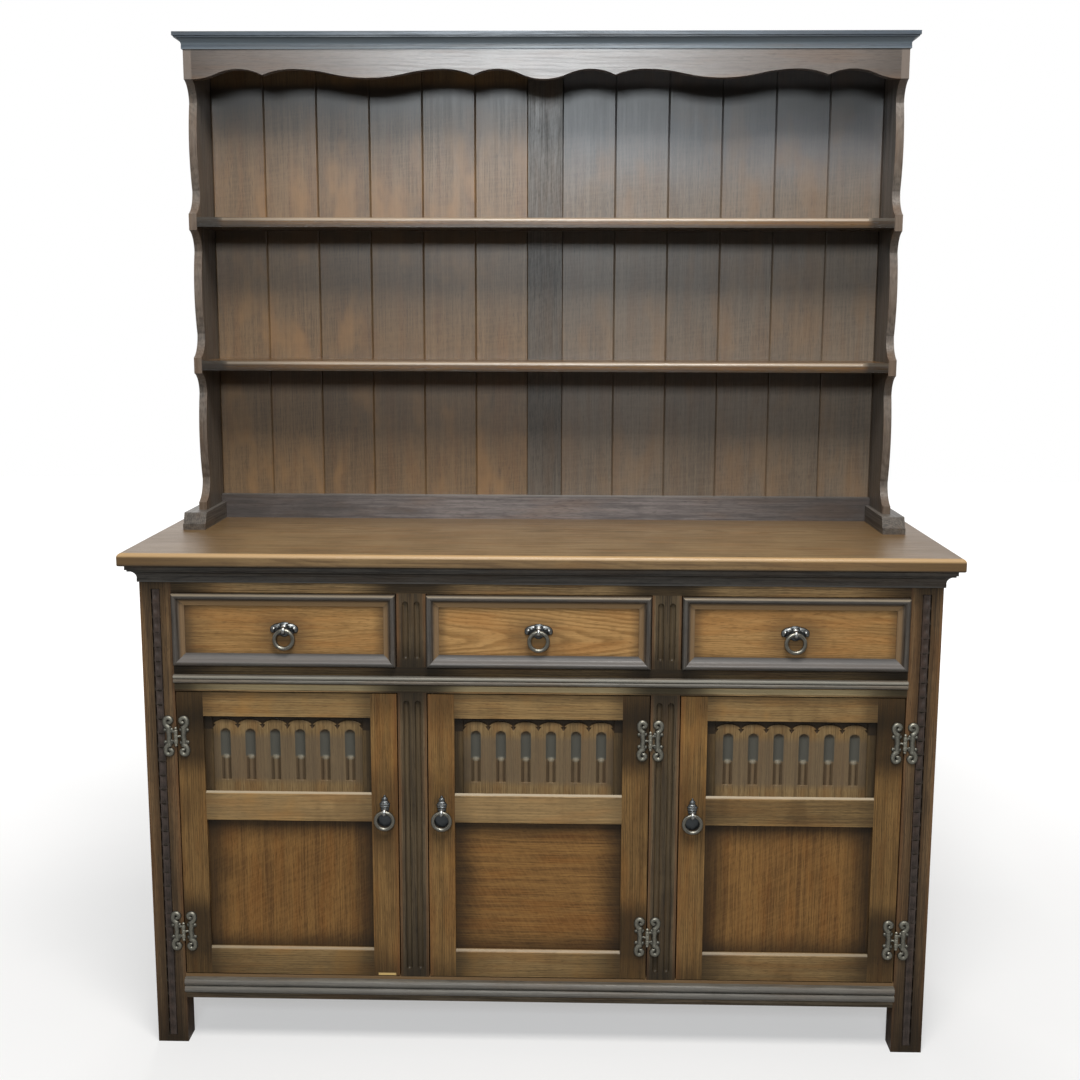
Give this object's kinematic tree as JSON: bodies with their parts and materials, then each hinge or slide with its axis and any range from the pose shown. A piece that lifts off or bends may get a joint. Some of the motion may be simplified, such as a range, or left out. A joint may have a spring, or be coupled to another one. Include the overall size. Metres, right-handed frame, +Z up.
{
  "type": "welsh dresser",
  "caption": "Dark oak dresser: a cupboard base with moulded drawers over doors with carved arcade panels, and a plate rack with shaped sides, shelves and a scalloped frieze.",
  "frame": {"origin": "on the floor, in the middle of the bounding box in X and Y", "axes": "+X to the right seen from the front, +Y to the back, +Z up; the drawers and doors face -Y"},
  "size_m": [1.372, 0.44, 1.727],
  "materials": {
    "oak_frame": "dark stained oak, satin lacquer, shaded darker at the joints",
    "oak_panel": "dark stained oak, satin lacquer, lighter in the middle of each panel",
    "oak_moulding": "near-black stained oak, satin lacquer",
    "inner_wood": "plain unstained wood",
    "antique_brass": "dark antique patina, rubbed on the high parts"
  },
  "bodies": {
    "carcase": {"front_stile_left": "oak_frame", "front_stile_right": "oak_frame", "back_stiles": "oak_frame", "side_rails": "oak_frame", "front_rails": "oak_frame", "back_rails": "oak_frame", "muntins": "oak_frame", "top_board": "oak_frame", "rack_side_left": "oak_frame", "rack_side_right": "oak_frame", "rack_feet": "oak_frame", "rack_frieze": "oak_frame", "rack_top_board": "oak_frame", "plate_shelves": "oak_frame", "rack_bottom_rail": "oak_frame", "rack_back_muntin": "oak_frame", "side_panels": "oak_panel", "rack_back_boards": "oak_panel", "top_moulding": "oak_moulding", "rail_mouldings": "oak_moulding", "rack_cornice": "oak_moulding", "floor_board": "inner_wood", "base_back_panel": "inner_wood", "drawer_runners": "inner_wood", "carcase_hinge_leaves": "antique_brass", "hinge_pins": "antique_brass", "door_catches": "antique_brass"},
    "drawer_left": {"drawer_left_front": "oak_panel", "drawer_left_moulding": "oak_moulding", "drawer_left_box": "inner_wood", "drawer_left_pull_plate": "antique_brass"},
    "drawer_left_ring": {"drawer_left_pull_ring": "antique_brass"},
    "drawer_middle": {"drawer_middle_front": "oak_panel", "drawer_middle_moulding": "oak_moulding", "drawer_middle_box": "inner_wood", "drawer_middle_pull_plate": "antique_brass"},
    "drawer_middle_ring": {"drawer_middle_pull_ring": "antique_brass"},
    "drawer_right": {"drawer_right_front": "oak_panel", "drawer_right_moulding": "oak_moulding", "drawer_right_box": "inner_wood", "drawer_right_pull_plate": "antique_brass"},
    "drawer_right_ring": {"drawer_right_pull_ring": "antique_brass"},
    "door_left": {"door_left_frame": "oak_frame", "door_left_carved_panel": "oak_panel", "door_left_plain_panel": "oak_panel", "door_left_hinge_leaves": "antique_brass", "door_left_pull_plate": "antique_brass"},
    "door_left_ring": {"door_left_pull_ring": "antique_brass"},
    "door_middle": {"door_middle_frame": "oak_frame", "door_middle_carved_panel": "oak_panel", "door_middle_plain_panel": "oak_panel", "door_middle_hinge_leaves": "antique_brass", "door_middle_pull_plate": "antique_brass"},
    "door_middle_ring": {"door_middle_pull_ring": "antique_brass"},
    "door_right": {"door_right_frame": "oak_frame", "door_right_carved_panel": "oak_panel", "door_right_plain_panel": "oak_panel", "door_right_hinge_leaves": "antique_brass", "door_right_pull_plate": "antique_brass"},
    "door_right_ring": {"door_right_pull_ring": "antique_brass"}
  },
  "joints": [
    {"name": "drawer_left_slide", "type": "slide", "parent": "carcase", "child": "drawer_left", "axis": [0, -1, 0], "range_m": [0, 0.28]},
    {"name": "drawer_left_ring_swing", "type": "hinge", "parent": "drawer_left", "child": "drawer_left_ring", "pos_m": [-0.42, -0.2032, 0.7345], "axis": [-1, 0, 0], "range_deg": [0, 95]},
    {"name": "drawer_middle_slide", "type": "slide", "parent": "carcase", "child": "drawer_middle", "axis": [0, -1, 0], "range_m": [0, 0.28]},
    {"name": "drawer_middle_ring_swing", "type": "hinge", "parent": "drawer_middle", "child": "drawer_middle_ring", "pos_m": [0, -0.2032, 0.7345], "axis": [-1, 0, 0], "range_deg": [0, 95]},
    {"name": "drawer_right_slide", "type": "slide", "parent": "carcase", "child": "drawer_right", "axis": [0, -1, 0], "range_m": [0, 0.28]},
    {"name": "drawer_right_ring_swing", "type": "hinge", "parent": "drawer_right", "child": "drawer_right_ring", "pos_m": [0.42, -0.2032, 0.7345], "axis": [-1, 0, 0], "range_deg": [0, 95]},
    {"name": "door_left_hinge", "type": "hinge", "parent": "carcase", "child": "door_left", "pos_m": [-0.606, -0.1986, 0.377], "axis": [0, 0, -1], "range_deg": [0, 165]},
    {"name": "door_left_ring_swing", "type": "hinge", "parent": "door_left", "child": "door_left_ring", "pos_m": [-0.258, -0.2032, 0.423], "axis": [-1, 0, 0], "range_deg": [0, 95]},
    {"name": "door_middle_hinge", "type": "hinge", "parent": "carcase", "child": "door_middle", "pos_m": [0.186, -0.1986, 0.377], "axis": [0, 0, 1], "range_deg": [0, 120]},
    {"name": "door_middle_ring_swing", "type": "hinge", "parent": "door_middle", "child": "door_middle_ring", "pos_m": [-0.162, -0.2032, 0.423], "axis": [-1, 0, 0], "range_deg": [0, 95]},
    {"name": "door_right_hinge", "type": "hinge", "parent": "carcase", "child": "door_right", "pos_m": [0.606, -0.1986, 0.377], "axis": [0, 0, 1], "range_deg": [0, 165]},
    {"name": "door_right_ring_swing", "type": "hinge", "parent": "door_right", "child": "door_right_ring", "pos_m": [0.258, -0.2032, 0.423], "axis": [-1, 0, 0], "range_deg": [0, 95]}
  ]
}
